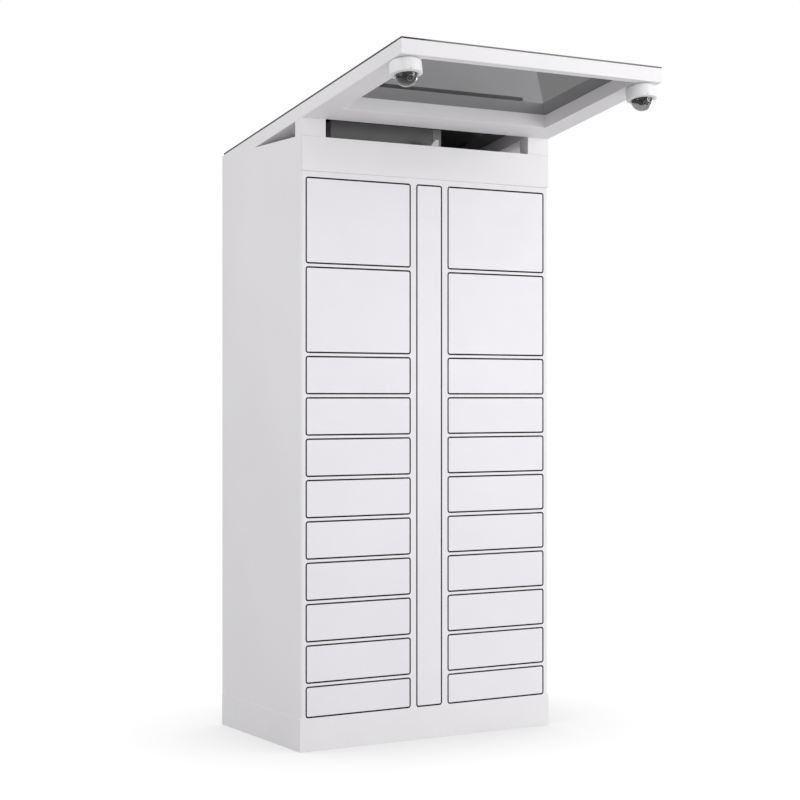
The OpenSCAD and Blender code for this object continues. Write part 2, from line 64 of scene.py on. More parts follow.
rightDoors = [name for name in cadNodes if name.startswith("right_door_")]
allDoors = leftDoors + rightDoors + ["service_door"]
print("frame loaded:", len(cadNodes), "nodes,", len(allDoors), "doors")


# What every soft edge, seam and screw starts from
edgeLook = {"smoothUnder": 35, "bendOver": 40, "merge": 0.00001, "flat": 0.5, "same": 0.0002}


def bodyOf(node):
    return cadNodes[node]["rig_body"]


def tint(red, green, blue):  # a display colour, each part from 0 to 255
    return (*[((v / 255 + 0.055) / 1.055) ** 2.4 for v in (red, green, blue)], 1.0)


def grey(value, cool=0.0):  # cool shifts the grey a little to blue
    return tint(value - cool, value - cool * 0.6, value + cool)


def weighNormals(piece):  # keeps big flat faces flat beside their rounded edges
    weights = piece.modifiers.new("flatFaces", "WEIGHTED_NORMAL")
    weights.mode = "FACE_AREA"
    weights.weight = 100
    weights.keep_sharp = True


def makePiece(bm, name, body, material, weighted=False):
    mesh = bpy.data.meshes.new(name)
    bmesh.ops.recalc_face_normals(bm, faces=bm.faces)
    bm.to_mesh(mesh)
    bm.free()
    for face in mesh.polygons:
        face.use_smooth = True
    mesh.set_sharp_from_angle(angle=radians(edgeLook["smoothUnder"]))
    mesh.materials.append(material)
    piece = bpy.data.objects.new(name, mesh)
    bpy.context.scene.collection.objects.link(piece)
    if weighted:
        weighNormals(piece)
    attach(piece, body)
    return piece


def roundEdges(bm, edges, radius, segments=3):
    bmesh.ops.bevel(bm, geom=edges, offset=radius, offset_type="OFFSET", affect="EDGES", segments=segments,
                    profile=0.5, material=-1, clamp_overlap=False)


def addBox(bm, low, high, radius=0.0, segments=2):
    low, high = Vector(low), Vector(high)
    made = bmesh.ops.create_cube(bm, size=1.0)["verts"]
    bmesh.ops.scale(bm, vec=high - low, verts=made)
    bmesh.ops.translate(bm, vec=(low + high) / 2, verts=made)
    if radius:
        roundEdges(bm, list({e for v in made for e in v.link_edges}), radius, segments)


def addRod(bm, start, end, radius, endRadius=None, sides=24, rounding=0.0):
    start, end = Vector(start), Vector(end)
    along = end - start
    place = Matrix.Translation((start + end) / 2) @ along.to_track_quat("Z", "Y").to_matrix().to_4x4()
    far = radius if endRadius is None else endRadius
    made = bmesh.ops.create_cone(bm, cap_ends=True, segments=sides, radius1=radius, radius2=far,
                                 depth=along.length, matrix=place)["verts"]
    if rounding:
        rims = {e for v in made for e in v.link_edges if any(len(f.verts) > 4 for f in e.link_faces)}
        roundEdges(bm, list(rims), rounding, 2)


def addTurned(bm, outline, place, steps=48):  # a closed outline in radius and height, spun about Z
    verts = [bm.verts.new((radius, 0.0, height)) for radius, height in outline]
    edges = [bm.edges.new((verts[i - 1], verts[i])) for i in range(len(verts))]
    known = set(bm.verts)
    bmesh.ops.spin(bm, geom=verts + edges, cent=(0, 0, 0), axis=(0, 0, 1), angle=2 * pi, steps=steps,
                   use_merge=True)
    made = [v for v in bm.verts if v not in known] + verts
    bmesh.ops.transform(bm, matrix=place, verts=made)


def roundedRing(low, high, inset, radius, steps=5):  # the corners of a rectangle in X and Z, each as an arc
    middles = ((high[0], high[2], -1, -1, 0), (low[0], high[2], 1, -1, 90),
               (low[0], low[2], 1, 1, 180), (high[0], low[2], -1, 1, 270))
    points = []
    for x, z, across, up, turn in middles:
        middleX = x + across * (inset + radius)
        middleZ = z + up * (inset + radius)
        for i in range(steps + 1):
            a = radians(turn + 90 * i / steps)
            points.append((middleX + radius * cos(a), middleZ + radius * sin(a)))
    return points


def addFrame(bm, low, high, wall, corner):  # a hollow rectangle in X and Z, closed all round, deep along Y
    sharpest = 0.0002
    outer = roundedRing(low, high, 0.0, max(corner, sharpest))
    inner = roundedRing(low, high, wall, max(corner - wall, sharpest))
    rings = [(outer, low[1]), (outer, high[1]), (inner, high[1]), (inner, low[1])]
    loops = [[bm.verts.new((x, y, z)) for x, z in points] for points, y in rings]
    for k in range(4):
        here, following = loops[k], loops[(k + 1) % 4]
        for i in range(len(here)):
            bm.faces.new((here[i - 1], here[i], following[i], following[i - 1]))


def near(a, b, reach=edgeLook["same"]):
    return abs(a - b) < reach


def softCopy(node, name, paint, radius, pick, segments=3):  # the CAD node with its picked edges rounded
    bm = bmesh.new()
    bm.from_mesh(cadNodes[node].data)
    bmesh.ops.remove_doubles(bm, verts=bm.verts, dist=edgeLook["merge"])
    bmesh.ops.dissolve_limit(bm, angle_limit=radians(edgeLook["flat"]), use_dissolve_boundaries=False,
                             verts=bm.verts, edges=bm.edges)
    bends = [e for e in bm.edges
             if len(e.link_faces) == 2 and e.calc_face_angle(0) > radians(edgeLook["bendOver"])]
    roundEdges(bm, [e for e in bends if pick(e.verts[0].co, e.verts[1].co)], radius, segments)
    piece = makePiece(bm, name, bodyOf(node), paints[paint], weighted=True)
    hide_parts(node)
    return piece


# Shader groups, each built once and placed with its own values

def newGroup(name, inputs, outputs):
    group = bpy.data.node_groups.new(name, "ShaderNodeTree")
    for label, kind, value in inputs:
        socket = group.interface.new_socket(name=label, in_out="INPUT", socket_type=kind)
        if value is not None:
            socket.default_value = value
    for label in outputs:
        group.interface.new_socket(name=label, in_out="OUTPUT", socket_type="NodeSocketFloat")
    return group, group.nodes.new("NodeGroupInput"), group.nodes.new("NodeGroupOutput")


def addNoise(tree, vector, scale, detail=2.0, rough=0.5):
    noise = tree.nodes.new("ShaderNodeTexNoise")
    noise.inputs["Detail"].default_value = detail
    noise.inputs["Roughness"].default_value = rough
    tree.links.new(vector, noise.inputs["Vector"])
    if isinstance(scale, float):
        noise.inputs["Scale"].default_value = scale
    else:
        tree.links.new(scale, noise.inputs["Scale"])
    return noise.outputs["Fac"]


def addRange(tree, value, fromLow, fromHigh, toLow, toHigh):
    node = tree.nodes.new("ShaderNodeMapRange")
    tree.links.new(value, node.inputs["Value"])
    ends = {"From Min": fromLow, "From Max": fromHigh, "To Min": toLow, "To Max": toHigh}
    for label, end in ends.items():
        if isinstance(end, (int, float)):
            node.inputs[label].default_value = end
        else:
            tree.links.new(end, node.inputs[label])
    return node.outputs["Result"]


def addMath(tree, operation, a, b):
    node = tree.nodes.new("ShaderNodeMath")
    node.operation = operation
    for socket, value in zip(node.inputs, (a, b)):
        if isinstance(value, (int, float)):
            socket.default_value = value
        else:
            tree.links.new(value, socket)
    return node.outputs["Value"]


groupLook = {"middle": (0.3, 0.7), "driftScale": 2.6, "driftRough": 0.45, "patchScale": 17.0,
             "warpScale": 40.0, "warp": 0.02, "lineStretch": (900.0, 900.0, 25.0), "lowGreyScale": 9.0,
             "lowGreyRough": 0.6, "lowGreyMiddle": (0.35, 0.75)}
vectorIn = ("Vector", "NodeSocketVector", None)
roughIn = [("Rough Low", "NodeSocketFloat", 0.3), ("Rough High", "NodeSocketFloat", 0.4)]


def makeGrainGroup():  # powder coat and moulded plastic: broad tone drift, fine skin
    inputs = [vectorIn, ("Grain Scale", "NodeSocketFloat", 900.0), *roughIn]
    group, start, end = newGroup("grain", inputs, ["Tone", "Roughness", "Height"])
    vector = start.outputs["Vector"]
    drift = addNoise(group, vector, groupLook["driftScale"], 3.0, groupLook["driftRough"])
    group.links.new(addRange(group, drift, *groupLook["middle"], 0.0, 1.0), end.inputs["Tone"])
    patches = addNoise(group, vector, groupLook["patchScale"], 4.0)
    rough = addRange(group, patches, *groupLook["middle"], start.outputs["Rough Low"],
                     start.outputs["Rough High"])
    group.links.new(rough, end.inputs["Roughness"])
    skin = addNoise(group, vector, start.outputs["Grain Scale"])
    group.links.new(skin, end.inputs["Height"])
    return group


def makeSpangleGroup():  # zinc crystals of a galvanised sheet
    inputs = [vectorIn, ("Crystal Scale", "NodeSocketFloat", 90.0), *roughIn]
    group, start, end = newGroup("spangle", inputs, ["Tone", "Roughness", "Height"])
    warp = group.nodes.new("ShaderNodeTexNoise")
    warp.inputs["Scale"].default_value = groupLook["warpScale"]
    group.links.new(start.outputs["Vector"], warp.inputs["Vector"])
    push = group.nodes.new("ShaderNodeMixRGB")
    push.inputs["Fac"].default_value = groupLook["warp"]
    group.links.new(start.outputs["Vector"], push.inputs["Color1"])
    group.links.new(warp.outputs["Color"], push.inputs["Color2"])
    crystals = group.nodes.new("ShaderNodeTexVoronoi")
    group.links.new(push.outputs["Color"], crystals.inputs["Vector"])
    group.links.new(start.outputs["Crystal Scale"], crystals.inputs["Scale"])
    split = group.nodes.new("ShaderNodeSeparateColor")
    group.links.new(crystals.outputs["Color"], split.inputs["Color"])
    group.links.new(split.outputs["Red"], end.inputs["Tone"])
    rough = addRange(group, split.outputs["Green"], 0.0, 1.0, start.outputs["Rough Low"],
                     start.outputs["Rough High"])
    group.links.new(rough, end.inputs["Roughness"])
    group.links.new(crystals.outputs["Distance"], end.inputs["Height"])
    return group


def makeBrushedGroup():  # fine lines of drawn or turned metal
    group, start, end = newGroup("brushed", [vectorIn, *roughIn], ["Tone", "Roughness", "Height"])
    stretch = group.nodes.new("ShaderNodeMapping")
    stretch.inputs["Scale"].default_value = groupLook["lineStretch"]
    group.links.new(start.outputs["Vector"], stretch.inputs["Vector"])
    lines = addNoise(group, stretch.outputs["Vector"], 1.0, 3.0)
    group.links.new(addRange(group, lines, *groupLook["middle"], 0.0, 1.0), end.inputs["Tone"])
    rough = addRange(group, lines, *groupLook["middle"], start.outputs["Rough Low"],
                     start.outputs["Rough High"])
    group.links.new(rough, end.inputs["Roughness"])
    group.links.new(lines, end.inputs["Height"])
    return group


def makeLowGreyingGroup():  # greyer towards the floor over the reach height, broken up by noise
    group, start, end = newGroup("nearFloorGreying", [vectorIn, ("Reach", "NodeSocketFloat", 0.35)], ["Mask"])
    split = group.nodes.new("ShaderNodeSeparateXYZ")
    group.links.new(start.outputs["Vector"], split.inputs["Vector"])
    fade = addRange(group, split.outputs["Z"], 0.0, start.outputs["Reach"], 1.0, 0.0)
    patchNoise = addNoise(group, start.outputs["Vector"], groupLook["lowGreyScale"], 5.0, groupLook["lowGreyRough"])
    patchMask = addRange(group, patchNoise, *groupLook["lowGreyMiddle"], 0.0, 1.0)
    group.links.new(addMath(group, "MULTIPLY", fade, patchMask), end.inputs["Mask"])
    return group


grainGroup = makeGrainGroup()
spangleGroup = makeSpangleGroup()
brushedGroup = makeBrushedGroup()
lowGreyingGroup = makeLowGreyingGroup()


def addMix(tree, factor, first, second):
    mix = tree.nodes.new("ShaderNodeMix")
    mix.data_type = "RGBA"
    tree.links.new(factor, mix.inputs[0])
    for socket, value in ((mix.inputs[6], first), (mix.inputs[7], second)):
        if isinstance(value, tuple):
            socket.default_value = value
        else:
            tree.links.new(value, socket)
    return mix.outputs[2]


# the darker grey that the lower parts turn towards
lowGreyColour = grey(196)


def makeMaterial(name, group, look):
    material = bpy.data.materials.new(name)
    material.use_nodes = True
    tree = material.node_tree
    shader = tree.nodes["Principled BSDF"]
    coords = tree.nodes.new("ShaderNodeTexCoord").outputs["Object"]
    skin = tree.nodes.new("ShaderNodeGroup")
    skin.node_tree = group
    tree.links.new(coords, skin.inputs["Vector"])
    for label, value in look["skin"].items():
        skin.inputs[label].default_value = value
    colour = addMix(tree, skin.outputs["Tone"], look["deep"], look["light"])
    # mixes in a darker grey that grows towards the floor, in noisy patches
    if "lowGrey" in look:
        lowGrey = tree.nodes.new("ShaderNodeGroup")
        lowGrey.node_tree = lowGreyingGroup
        tree.links.new(coords, lowGrey.inputs["Vector"])
        thin = addMath(tree, "MULTIPLY", lowGrey.outputs["Mask"], look["lowGrey"])
        colour = addMix(tree, thin, colour, lowGreyColour)
    tree.links.new(colour, shader.inputs["Base Color"])
    tree.links.new(skin.outputs["Roughness"], shader.inputs["Roughness"])
    if look.get("bump"):
        bump = tree.nodes.new("ShaderNodeBump")
        bump.inputs["Strength"].default_value = look["bump"][0]
        bump.inputs["Distance"].default_value = look["bump"][1]
        tree.links.new(skin.outputs["Height"], bump.inputs["Height"])
        tree.links.new(bump.outputs["Normal"], shader.inputs["Normal"])
    for label, value in look.get("shader", {}).items():
        shader.inputs[label].default_value = value
    return material


finishes = {
    "doorPaint": (grainGroup, {
        "deep": tint(233, 230, 235), "light": tint(237, 234, 239), "lowGrey": 0.06, "bump": (0.10, 0.0002),
        "skin": {"Grain Scale": 620.0, "Rough Low": 0.36, "Rough High": 0.44}}),
    "cabinetPaint": (grainGroup, {
        "deep": tint(233, 231, 233), "light": tint(237, 235, 237), "lowGrey": 0.06, "bump": (0.14, 0.0002),
        "skin": {"Grain Scale": 620.0, "Rough Low": 0.42, "Rough High": 0.50}}),
    "plinthPaint": (grainGroup, {
        "deep": tint(233, 231, 233), "light": tint(237, 235, 237), "lowGrey": 0.10, "bump": (0.16, 0.0002),
        "skin": {"Grain Scale": 560.0, "Rough Low": 0.46, "Rough High": 0.55}}),
    "galvanised": (spangleGroup, {
        "deep": grey(168, 1.0), "light": grey(198, 1.5), "bump": (0.05, 0.0002),
        "skin": {"Crystal Scale": 85.0, "Rough Low": 0.38, "Rough High": 0.52},
        "shader": {"Metallic": 0.85}}),
    "solarGlass": (grainGroup, {
        "deep": grey(13, 2.0), "light": grey(20, 3.0),
        "skin": {"Grain Scale": 300.0, "Rough Low": 0.03, "Rough High": 0.07}, "shader": {"IOR": 1.5}}),
    "backsheet": (grainGroup, {
        "deep": grey(26, 0.5), "light": grey(30, 0.5),
        "skin": {"Grain Scale": 300.0, "Rough Low": 0.015, "Rough High": 0.03}, "shader": {"IOR": 3.3}}),
    "equipmentPaint": (grainGroup, {
        "deep": grey(116, 0.5), "light": grey(121, 0.5), "lowGrey": 0.10, "bump": (0.14, 0.0002),
        "skin": {"Grain Scale": 620.0, "Rough Low": 0.44, "Rough High": 0.52}}),
    "capPlastic": (grainGroup, {
        "deep": grey(154, 0.5), "light": grey(162, 0.5), "bump": (0.2, 0.0002),
        "skin": {"Grain Scale": 1500.0, "Rough Low": 0.44, "Rough High": 0.54}}),
    "blackPlastic": (grainGroup, {
        "deep": grey(26), "light": grey(36), "bump": (0.25, 0.0002),
        "skin": {"Grain Scale": 1900.0, "Rough Low": 0.46, "Rough High": 0.58}}),
    "antennaPlastic": (grainGroup, {
        "deep": grey(224, 0.5), "light": grey(230, 0.5), "bump": (0.2, 0.0002),
        "skin": {"Grain Scale": 1500.0, "Rough Low": 0.44, "Rough High": 0.54}}),
    "cameraPlastic": (grainGroup, {
        "deep": grey(234, 0.3), "light": grey(240, 0.3), "bump": (0.12, 0.0001),
        "skin": {"Grain Scale": 2200.0, "Rough Low": 0.32, "Rough High": 0.40}}),
    "cameraModule": (grainGroup, {
        "deep": grey(20), "light": grey(30), "bump": (0.2, 0.0001),
        "skin": {"Grain Scale": 2600.0, "Rough Low": 0.38, "Rough High": 0.50}}),
    "lockMetal": (brushedGroup, {
        "deep": grey(140, 1.0), "light": grey(172, 1.0), "bump": (0.08, 0.0001),
        "skin": {"Rough Low": 0.30, "Rough High": 0.44}, "shader": {"Metallic": 0.9}}),
    "stainless": (brushedGroup, {
        "deep": grey(176), "light": grey(204), "bump": (0.06, 0.0001), "shader": {"Metallic": 1.0},
        "skin": {"Rough Low": 0.22, "Rough High": 0.34}}),
    "controllerPlastic": (grainGroup, {
        "deep": grey(52, 1.0), "light": grey(62, 1.0), "bump": (0.3, 0.0002),
        "skin": {"Grain Scale": 1300.0, "Rough Low": 0.50, "Rough High": 0.62}}),
    "batteryPlastic": (grainGroup, {
        "deep": grey(38), "light": grey(48), "lowGrey": 0.25, "bump": (0.3, 0.0002),
        "skin": {"Grain Scale": 1100.0, "Rough Low": 0.48, "Rough High": 0.60}}),
    "trunkPlastic": (grainGroup, {
        "deep": grey(188, 0.5), "light": grey(198, 0.5), "bump": (0.15, 0.0002),
        "skin": {"Grain Scale": 1200.0, "Rough Low": 0.42, "Rough High": 0.52}}),
    # dark rubber: the battery handle's own colour, and painted shade on the door seals and opening liners
    # that darken the door gaps
    "rubberAndGapShade": (grainGroup, {
        "deep": grey(16), "light": grey(27), "bump": (0.35, 0.0002),
        "skin": {"Grain Scale": 1600.0, "Rough Low": 0.66, "Rough High": 0.80}}),
    "solarCell": (brushedGroup, {
        "deep": grey(14, 5.0), "light": grey(24, 9.0), "skin": {"Rough Low": 0.10, "Rough High": 0.16},
        "shader": {"Coat Weight": 1.0, "Coat Roughness": 0.03}}),
    "brass": (brushedGroup, {
        "deep": (0.56, 0.38, 0.14, 1.0), "light": (0.72, 0.50, 0.20, 1.0), "shader": {"Metallic": 1.0},
        "skin": {"Rough Low": 0.24, "Rough High": 0.36}}),
    "statusLight": (grainGroup, {
        "deep": (0.02, 0.30, 0.08, 1.0), "light": (0.03, 0.42, 0.12, 1.0),
        "skin": {"Grain Scale": 400.0, "Rough Low": 0.14, "Rough High": 0.22}}),
    "smokedDome": (grainGroup, {
        "deep": grey(196), "light": grey(204),
        "skin": {"Grain Scale": 60.0, "Rough Low": 0.010, "Rough High": 0.025},
        "shader": {"Transmission Weight": 1.0, "IOR": 1.49}}),
    "lensGlass": (grainGroup, {
        "deep": (0.004, 0.005, 0.009, 1.0), "light": (0.007, 0.009, 0.016, 1.0),
        "skin": {"Grain Scale": 60.0, "Rough Low": 0.01, "Rough High": 0.02},
        "shader": {"Coat Weight": 1.0}}),
}
paints = {name: makeMaterial(name, group, look) for name, (group, look) in finishes.items()}
print("materials ready:", len(paints))

carriedOver = {
    "cabinetPaint": ["left_side_panel", "right_side_panel", "back_panel", "top_panel", "left_divider",
                     "right_divider", "crossbars", "front_header"],
    "galvanised": ["anchor_rails", "base_panel", "ceiling_panel", "shelves"],
    "solarGlass": ["roof_panel"],
    "smokedDome": ["left_camera_dome", "right_camera_dome"],
    "cameraModule": ["left_camera_yoke", "right_camera_yoke", "left_camera_eye", "right_camera_eye"],
    "trunkPlastic": ["cable_trunk"],
    "stainless": ["hinge_pins"],
}
for finish, names in carriedOver.items():
    for name in names:
        cadNodes[name].data.materials.clear()
        cadNodes[name].data.materials.append(paints[finish])


# Doors: folded pans with soft outer edges, a hat section inside, dark rubber round the flange and lining each
# opening, partly a real seal and partly painted shade that darkens the door gaps
doorLook = {"edgeRadius": 0.0012, "gap": 0.0046, "corner": 0.005, "sheet": 0.0015, "rubberAndGapShade": 0.0004,
            "shadeSealLap": 0.0006, "shadeSealFront": 0.0002, "shadeSealStep": 0.0052, "shadeSealSplit": 0.00005,
            "shadeSealBack": 0.0165, "shadeTrimFront": 0.0003, "shadeTrimBack": 0.023, "filletDeep": 0.002}
hatLook = {"inset": 0.037, "half": 0.027, "top": 0.014, "height": 0.010, "sheet": 0.001, "bend": 0.0015,
           "serviceX": 0.041, "serviceHalf": 0.016, "serviceTop": 0.008}


def addHat(bm, start, end, half, top, upright):  # stands on the door's inner skin, along X or upright
    look = hatLook
    rise = look["height"] - look["sheet"]
    profile = [(-half, 0), (-top - rise / 2, 0), (-top, rise), (top, rise), (top + rise / 2, 0), (half, 0)]
    verts = []
    for side, out in profile:
        offset = (side, out, 0) if upright else (0, out, side)
        verts.append(bm.verts.new(Vector(start) + Vector(offset)))
    edges = [bm.edges.new((verts[i], verts[i + 1])) for i in range(len(verts) - 1)]
    pulled = bmesh.ops.extrude_edge_only(bm, edges=edges)["geom"]
    moved = [v for v in pulled if type(v) is bmesh.types.BMVert]
    bmesh.ops.translate(bm, vec=Vector(end) - Vector(start), verts=moved)
    faces = [f for f in pulled if type(f) is bmesh.types.BMFace]
    bends = list({e for f in faces for e in f.edges if len(e.link_faces) == 2})
    roundEdges(bm, bends, look["bend"], 2)
    bmesh.ops.recalc_face_normals(bm, faces=bm.faces)
    bmesh.ops.solidify(bm, geom=list(bm.faces), thickness=look["sheet"])
    lowest = min(v.co.y for v in bm.verts)
    bmesh.ops.translate(bm, vec=(0, start[1] - lowest, 0), verts=bm.verts)


def addCornerFillet(bm, corner, across, up, radius, steps=5):  # rounds an opening's square corner
    x, y, z = corner
    turns = [pi / 2 * i / steps for i in range(steps + 1)]
    arc = [(x + across * radius * (1 - cos(a)), y, z + up * radius * (1 - sin(a))) for a in turns]
    face = bm.faces.new([bm.verts.new(p) for p in [corner, *arc]])
    raised = bmesh.ops.extrude_face_region(bm, geom=[face])["geom"]
    back = [v for v in raised if type(v) is bmesh.types.BMVert]
    bmesh.ops.translate(bm, vec=(0, doorLook["filletDeep"], 0), verts=back)


def addSealAndGapShade(bm, low, high):  # dark rubber lapped round the door's front edge and down both folded sides: partly a real seal, partly painted shade in the door gap
    look = doorLook
    rim = look["rubberAndGapShade"]
    step = low.y + look["shadeSealStep"]
    addFrame(bm, (low.x - rim, low.y + look["shadeSealFront"], low.z - rim), (high.x + rim, step, high.z + rim),
             rim + look["shadeSealLap"], look["corner"] + rim)
    for x in (low.x - rim, high.x):
        addBox(bm, (x, step + look["shadeSealSplit"], low.z + look["corner"]),
               (x + rim, low.y + look["shadeSealBack"], high.z - look["corner"]))


gapShadeTrimBm = bmesh.new()
filletBm = bmesh.new()
for node in allDoors:
    look = doorLook
    low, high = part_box(node)
    front = low.y
    softCopy(node, node + "_pan", "doorPaint", look["edgeRadius"],
             lambda a, b: near(a.y, front) and near(b.y, front))

    # the dark seal round each leaf: painted shade for the door gap, partly a real seal
    sealShade = bmesh.new()
    addSealAndGapShade(sealShade, low, high)
    makePiece(sealShade, node + "_seal_gap_shade", bodyOf(node), paints["rubberAndGapShade"])

    hat = bmesh.new()
    skin = front + look["sheet"]
    inset = hatLook["inset"]
    if node == "service_door":
        x = low.x + hatLook["serviceX"]
        addHat(hat, (x, skin, low.z + inset), (x, skin, high.z - inset), hatLook["serviceHalf"],
               hatLook["serviceTop"], True)
    else:
        z = (low.z + high.z) / 2
        addHat(hat, (low.x + inset, skin, z), (high.x - inset, skin, z), hatLook["half"], hatLook["top"],
               False)
    makePiece(hat, node + "_stiffener", bodyOf(node), paints["doorPaint"])

    # a thin dark lining round each opening's reveal: painted shade that darkens the door gap
    gap = look["gap"]
    outer = gap + look["corner"]
    addFrame(gapShadeTrimBm, (low.x - gap, front + look["shadeTrimFront"], low.z - gap),
             (high.x + gap, front + look["shadeTrimBack"], high.z + gap), look["rubberAndGapShade"], outer)
    for x, across in ((low.x - gap, 1), (high.x + gap, -1)):
        for z, up in ((low.z - gap, 1), (high.z + gap, -1)):
            addCornerFillet(filletBm, (x, front, z), across, up, outer)
makePiece(gapShadeTrimBm, "opening_gap_shade_liners", "cabinet", paints["rubberAndGapShade"])
makePiece(filletBm, "opening_corners", "cabinet", paints["cabinetPaint"])
print("doors ready:", len(allDoors))


# Folded sheets of the cabinet and canopy, softened along the bends that show
sheetLook = {"bend": 0.0014, "plinthBend": 0.0009, "beamLong": 0.01, "fasciaTop": 0.01, "soffitTop": 0.02}
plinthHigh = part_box("plinth")[1]
canopyLow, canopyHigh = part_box("front_fascia")
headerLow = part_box("header_panel")[0]
soffitLow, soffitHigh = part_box("rear_soffit")


def plinthEdge(a, b):  # the upright corners and the outer edges at top and bottom
    def onSides(p):
        return near(abs(p.x), plinthHigh.x), near(abs(p.y), plinthHigh.y)

    if near(a.z, b.z):
        return any(onSides(a)) and any(onSides(b))
    return all(onSides(a)) and all(onSides(b))


def headerEdge(a, b):
    return near(a.y, headerLow.y) and near(b.y, headerLow.y)


def beamEdge(a, b):  # the two long bends along the soffit
    alongY = near(a.x, b.x) and abs(a.y - b.y) > sheetLook["beamLong"]
    return alongY and (near(abs(a.x), canopyHigh.x) or near(abs(a.x), soffitHigh.x))


def fasciaEdge(a, b):  # the front bend and the two front corners
    onFront = near(a.y, canopyLow.y) and near(b.y, canopyLow.y)
    straight = near(a.z, b.z) or near(a.x, b.x)
    return onFront and straight and min(a.z, b.z) < canopyHigh.z - sheetLook["fasciaTop"]


def soffitEdge(a, b):
    onFront = near(a.y, soffitLow.y) and near(b.y, soffitLow.y)
    return onFront and near(a.z, b.z) and a.z < soffitHigh.z - sheetLook["soffitTop"]


foldedSheets = {
    "header_panel": ("header_cover", headerEdge),
    "canopy_posts": ("post_covers", headerEdge),
    "front_fascia": ("fascia_beam", fasciaEdge),
    "rear_soffit": ("soffit_box", soffitEdge),
    "left_canopy_beam": ("left_beam_trough", beamEdge),
    "right_canopy_beam": ("right_beam_trough", beamEdge),
}
softCopy("plinth", "plinth_skirt", "plinthPaint", sheetLook["plinthBend"], plinthEdge)
for node, (name, pick) in foldedSheets.items():
    softCopy(node, name, "cabinetPaint", sheetLook["bend"], pick)
print("sheets softened")


# Hinge washers between the leaves and the bars they swing on
washerLook = {"outer": 0.0055, "inner": 0.0026, "height": 0.003, "pivot": 0.008}
washers = bmesh.new()
for node in allDoors:
    low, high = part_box(node)
    look = washerLook
    inner, outer, half = look["inner"], look["outer"], look["height"] / 2
    x = high.x - look["pivot"] if node in rightDoors else low.x + look["pivot"]
    for z in (low.z - doorLook["gap"] / 2, high.z + doorLook["gap"] / 2):
        addTurned(washers, [(inner, -half), (outer, -half), (outer, half), (inner, half)],
                  Matrix.Translation((x, low.y + look["pivot"], z)), 20)
makePiece(washers, "hinge_washers", "cabinet", paints["blackPlastic"])


# Locks: soft cases, two screws and a plug each
lockLook = {"edgeRadius": 0.0009, "face": 0.0585, "reach": 0.071, "screwRadius": 0.0032, "screwTaper": 0.8,
            "screwHeight": 0.0016, "screwRise": 0.021, "screwIn": 0.011, "plugBack": 0.003,
            "plugLength": 0.009, "plugHalf": 0.004, "plugTall": 0.012, "plugRound": 0.0008}
softCopy("door_locks", "lock_cases", "lockMetal", lockLook["edgeRadius"],
         lambda a, b: abs(a.x) < lockLook["reach"] or abs(b.x) < lockLook["reach"], 2)
lockScrews = bmesh.new()
lockPlugs = bmesh.new()
lockLow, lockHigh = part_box("door_locks")
for node in leftDoors + rightDoors:
    look = lockLook
    low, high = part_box(node)
    z = (low.z + high.z) / 2
    face = look["face"] if node in rightDoors else -look["face"]
    inward = -1 if node in rightDoors else 1
    for rise in (-look["screwRise"], look["screwRise"]):
        for y in (lockLow.y + look["screwIn"], lockHigh.y - look["screwIn"]):
            addRod(lockScrews, (face, y, z + rise), (face + inward * look["screwHeight"], y, z + rise),
                   look["screwRadius"], look["screwRadius"] * look["screwTaper"], 16)
    back = face - inward * look["plugBack"]
    xs = sorted((back, back - inward * 2 * look["plugHalf"]))
    addBox(lockPlugs, (xs[0], lockHigh.y, z - look["plugTall"]),
           (xs[1], lockHigh.y + look["plugLength"], z + look["plugTall"]), look["plugRound"])
makePiece(lockScrews, "lock_screws", "cabinet", paints["stainless"])
makePiece(lockPlugs, "lock_plugs", "cabinet", paints["blackPlastic"])
print("locks ready")


# Control unit: case, cover with a seam, ribs, cable glands and status lights
controlLook = {"edgeRadius": 0.004, "seam": 0.0012, "coverDepth": 0.014, "coverIn": 0.002,
               "coverRound": 0.0032, "under": 0.016, "core": 0.002, "coreFront": 0.001, "coreBack": 0.004}
ribLook = {"count": 9, "pitch": 0.009, "top": 0.030, "side": 0.018, "half": 0.0022, "deep": 0.004,
           "round": 0.0009}
low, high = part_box("controller")
look = controlLook
case = bmesh.new()
split = low.y + look["coverDepth"]
bottom = low.z + look["under"]
core = look["core"]
addBox(case, (low.x, split + look["seam"], bottom), (high.x, high.y, high.z), look["edgeRadius"], 3)
addBox(case, (low.x + core, split - look["coreFront"], bottom + core),
       (high.x - core, split + look["coreBack"], high.z - core))
addBox(case, (low.x, low.y + look["coverIn"], bottom), (high.x, split, high.z), look["coverRound"], 3)
look = ribLook
for i in range(look["count"]):
    z = high.z - look["top"] - i * look["pitch"]
    addBox(case, (low.x + look["side"], low.y, z - look["half"]),
           (high.x - look["side"], low.y + look["deep"], z + look["half"]), look["round"])
controlCase = makePiece(case, "control_case", "cabinet", paints["controllerPlastic"],
                        weighted=True)
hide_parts("controller")


def addGland(bm, foot, along, look, sleeveSides):  # a hexagon nut and the round sleeve that grips the cable
    for part, sides in (("nut", 6), ("sleeve", sleeveSides)):
        start, end = look[part]
        addRod(bm, foot + along * start, foot + along * end, look[part + "Radius"], None, sides,
               look[part + "Round"])


glandLook = {"first": 0.019, "pitch": 0.024, "count": 4, "back": 0.006, "nutRadius": 0.0075,
             "nut": (0.017, 0.010), "nutRound": 0.0006, "sleeveRadius": 0.0054, "sleeve": (0.011, 0.002),
             "sleeveRound": 0.0008}
look = glandLook
glands = bmesh.new()
y = (low.y + high.y) / 2 + look["back"]
for i in range(look["count"]):
    x = low.x + look["first"] + i * look["pitch"]
    addGland(glands, Vector((x, y, low.z)), Vector((0, 0, 1)), look, 20)
makePiece(glands, "control_glands", "cabinet", paints["blackPlastic"])

